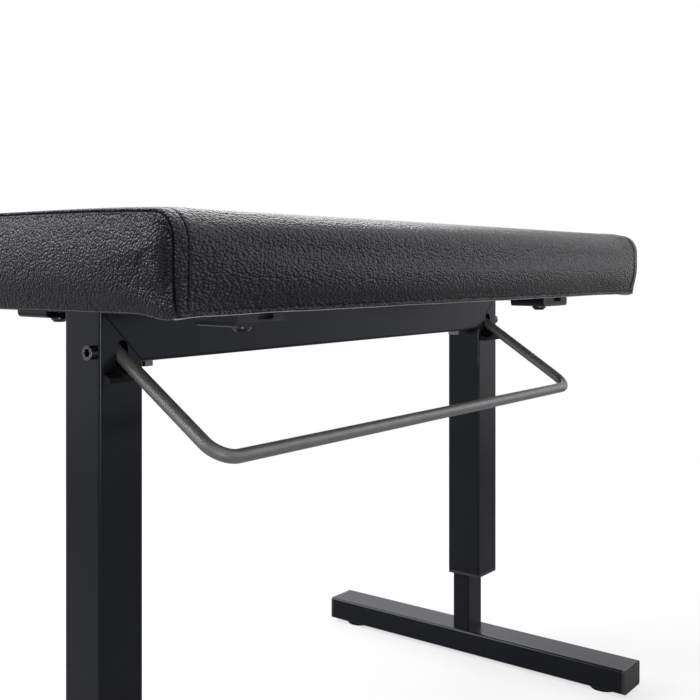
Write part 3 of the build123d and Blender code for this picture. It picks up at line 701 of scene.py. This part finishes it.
# Topstitching: a row of black thread beside each end seam, from hem to hem
# over the top, lying in the groove that it pulls into the cover.
def laid_along(name, runs, closed, spacing, size, finish):
    """Small beads set at even spaces along runs of points, as one plain mesh."""
    verts, edges = [], []
    for run in runs:
        base = len(verts)
        verts += run
        edges += [(base + i, base + i + 1) for i in range(len(run) - 1)]
        if closed:
            edges.append((base + len(run) - 1, base))
    path_mesh = bpy.data.meshes.new(name + "_path")
    path_mesh.from_pydata(verts, edges, [])
    path = into_scene(name + "_path", path_mesh)
    group = bpy.data.node_groups.new(name, "GeometryNodeTree")
    group.interface.new_socket("Path", in_out="INPUT", socket_type="NodeSocketGeometry")
    spacing_in = group.interface.new_socket("Spacing", in_out="INPUT", socket_type="NodeSocketFloat")
    size_in = group.interface.new_socket("Size", in_out="INPUT", socket_type="NodeSocketVector")
    finish_in = group.interface.new_socket("Finish", in_out="INPUT", socket_type="NodeSocketMaterial")
    group.interface.new_socket("Pieces", in_out="OUTPUT", socket_type="NodeSocketGeometry")
    source = Flow(group, group.nodes.new("NodeGroupInput").outputs["Path"])
    curve = source.make("GeometryNodeMeshToCurve", {}, {0: source})
    points = source.make(
        "GeometryNodeCurveToPoints", {"mode": "LENGTH"}, {"Curve": curve, "Length": source.output("Spacing")}
    )
    bead = source.make("GeometryNodeMeshUVSphere", {}, {"Segments": 8, "Rings": 6, "Radius": 1.0})
    placed = source.make(
        "GeometryNodeInstanceOnPoints",
        {},
        {
            "Points": points,
            "Instance": bead,
            "Rotation": points.output("Rotation"),
            "Scale": source.output("Size"),
        },
    )
    real = source.make("GeometryNodeRealizeInstances", {}, {0: placed})
    dressed = source.make(
        "GeometryNodeSetMaterial", {}, {"Geometry": real, "Material": source.output("Finish")}
    )
    group.links.new(dressed.socket, group.nodes.new("NodeGroupOutput").inputs["Pieces"])
    layer = path.modifiers.new(name, "NODES")
    layer.node_group = group
    layer[spacing_in.identifier] = spacing
    layer[size_in.identifier] = size
    layer[finish_in.identifier] = finish
    bpy.context.view_layer.update()
    graph = bpy.context.evaluated_depsgraph_get()
    made = bpy.data.meshes.new_from_object(path.evaluated_get(graph), depsgraph=graph)
    bpy.data.objects.remove(path)
    return into_scene(name, made)


STITCH_FROM = 0.006
STITCH_SPACING, STITCH_SIZE = 0.0044, (0.00035, 0.00035, 0.0018)
STITCH_LIFT = 0.0001
FLANK_Y = 0.14
CAST_FROM = 0.02
THREAD_DARK, THREAD_LIGHT = (0.006, 0.006, 0.006), (0.014, 0.014, 0.0145)
bpy.context.view_layer.update()
skin = BVHTree.FromObject(cushion, bpy.context.evaluated_depsgraph_get())
stitch_runs = []
for sign in (-1, 1):
    over, down, under, up = cushion_ring(sign * STITCH_X)
    sides = [[(y, z) for y, z in side if z > STITCH_FROM] for side in (up, down)]
    run = []
    for y, z in sides[0] + over + sides[1]:
        target = Vector(cushion_point(sign * STITCH_X, y, z))
        outward = Vector((0, y - max(-FLANK_Y, min(FLANK_Y, y)), z - SPINE_Z)).normalized()
        hit, normal, face, distance = skin.ray_cast(target + outward * CAST_FROM, -outward)
        if hit is not None:
            run.append(hit + normal * STITCH_LIFT)
    stitch_runs.append(run)
thread, thread_shader, thread_place = new_finish("black_thread")
twist = noise(thread_place, per_metre=2400.0, detail=1.0)
dress(
    thread_shader,
    {
        "Base Color": twist.tint(THREAD_DARK, THREAD_LIGHT),
        "Roughness": twist.between(0.5, 0.7),
        "Normal": bump(twist, strength=0.3, depth=0.0002),
    },
)
stitches = laid_along("cover_stitches", stitch_runs, False, STITCH_SPACING, STITCH_SIZE, thread)
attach(stitches, "frame")

# Hem staples: bright wire staples that hold the cover's hem under the board,
# in one row round the opening.
STAPLE_MARGIN = 0.009
STAPLE_SPACING, STAPLE_SIZE = 0.0285, (0.0005, 0.0005, 0.0052)
STAPLE_Z = HEM_Z - 0.0001
row_x, row_y = WINDOW_X + STAPLE_MARGIN, WINDOW_Y + STAPLE_MARGIN
staple_corners = ((-row_x, -row_y), (row_x, -row_y), (row_x, row_y), (-row_x, row_y))
staple_run = [(x, y, STAPLE_Z) for x, y in staple_corners]
staples = laid_along("hem_staples", [staple_run], True, STAPLE_SPACING, STAPLE_SIZE, zinc)
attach(staples, "frame")

# Studio: a pale floor and an even white surround, with one broad soft lamp above
# and smaller ones round the bench. The photograph's reflections are darker towards
# the floor, so gloss sees the floor near the bench in grey.
FLOOR_HALF = 40
FLOOR_SHADE = (0.86, 0.86, 0.86, 1.0)
WHITE, GREY_IN_GLOSS = (1.0, 1.0, 1.0), (0.2, 0.2, 0.2)
GREY_TO, GREY_FADE = 0.7, 2.8
SHADOW_SHARE, SHADOW_TO, SHADOW_FADE = 0.3, 0.5, 1.3
bpy.context.scene.view_settings.view_transform = "Standard"
floor_corners = [(x * FLOOR_HALF, y * FLOOR_HALF, 0) for x, y in ((-1, -1), (1, -1), (1, 1), (-1, 1))]
floor_mesh = bpy.data.meshes.new("floor")
floor_mesh.from_pydata(floor_corners, [], [(0, 1, 2, 3)])
floor = into_scene("floor", floor_mesh)
floor_finish, floor_shader, floor_place = new_finish("pale_floor")
dress(floor_shader, {"Base Color": FLOOR_SHADE, "Roughness": 0.9})
floor_tree = floor_place.tree
floor_far = floor_place.make("ShaderNodeVectorMath", {"operation": "LENGTH"}, {0: floor_place}, output=1)
floor_camera = Flow(floor_tree, floor_tree.nodes.new("ShaderNodeLightPath").outputs["Is Camera Ray"])
floor_gloss = floor_camera.output("Is Glossy Ray")
floor_behind = floor_gloss + floor_camera.output("Is Transmission Ray")
floor_under = Flow(floor_tree, floor_tree.nodes.new("ShaderNodeNewGeometry").outputs["Backfacing"])
floor_tone = (floor_gloss * floor_far.below(GREY_TO, GREY_FADE)).tint(WHITE, GREY_IN_GLOSS)
floor_glow = floor_place.make("ShaderNodeEmission", {}, {"Color": floor_tone})
floor_clear = floor_place.make("ShaderNodeBsdfTransparent", {}, {})
floor_layer = Flow(floor_tree, floor_shader.outputs[0])
# the camera sees a clear film that keeps the shadow, so feet let down past it still show
floor_shadow = floor_far.below(SHADOW_TO, SHADOW_FADE) * SHADOW_SHARE
for share, over in (
    (floor_behind * (1.0 - floor_shadow), floor_glow),
    (floor_camera * (1.0 - floor_shadow * (1.0 - floor_under)), floor_clear),
):
    floor_layer = floor_place.make("ShaderNodeMixShader", {}, {0: share, 1: floor_layer, 2: over})
floor_tree.links.new(floor_layer.socket, floor_tree.nodes["Material Output"].inputs[0])
floor_mesh.materials.append(floor_finish)

SURROUND_LIGHT = 0.45
surround = bpy.data.worlds.new("surround")
bpy.context.scene.world = surround
surround.use_nodes = True
sky_tree = surround.node_tree
seen = Flow(sky_tree, sky_tree.nodes.new("ShaderNodeLightPath").outputs["Is Camera Ray"])
seen = seen + seen.output("Is Glossy Ray") + seen.output("Is Transmission Ray")
dress(
    sky_tree.nodes["Background"],
    {"Color": (*WHITE, 1.0), "Strength": seen.between(SURROUND_LIGHT, 1.0)},
)


def soft_lamp(name, place, aim_z, width, height, watts):
    """A broad rectangular lamp that faces the bench's middle at a height."""
    lamp = bpy.data.lights.new(name, "AREA")
    lamp.shape = "RECTANGLE"
    lamp.size = width
    lamp.size_y = height
    lamp.energy = watts
    holder = into_scene(name, lamp)
    holder.location = place
    holder.rotation_euler = (Vector((0, 0, aim_z)) - Vector(place)).to_track_quat("-Z", "Y").to_euler()


soft_lamp("lamp_above", (0.0, 0.3, 2.7), 0.4, 3.0, 2.4, 34)
soft_lamp("lamp_back_right", (1.9, 1.5, 1.85), 0.4, 1.3, 1.3, 16)
soft_lamp("lamp_back_left", (-1.5, 1.7, 1.95), 0.4, 2.0, 1.6, 84)
soft_lamp("lamp_front_right", (2.6, -1.6, 1.4), 0.4, 1.5, 1.5, 12)
soft_lamp("lamp_by_camera", (-1.9, -2.2, 0.22), 0.22, 0.6, 0.42, 14)

# Camera: level, beside the near end of the bench, a little above the frame,
# as in the photograph. The picture is moved up to put the horizon on its row.
PICTURE = 700
FOCAL_PIXELS = 1015.6
HORIZON_ROW = 266.5
SENSOR = 36.0
lens = bpy.data.cameras.new("camera")
lens.sensor_width = SENSOR
lens.lens = SENSOR * FOCAL_PIXELS / PICTURE
lens.shift_y = (HORIZON_ROW - PICTURE / 2) / PICTURE
camera = into_scene("camera", lens)
camera.location = (-0.744, -0.596, BEAM_TOP + 0.030)
camera.rotation_euler = Vector((0.7935, 0.6086, 0.0)).to_track_quat("-Z", "Y").to_euler()
bpy.context.scene.camera = camera
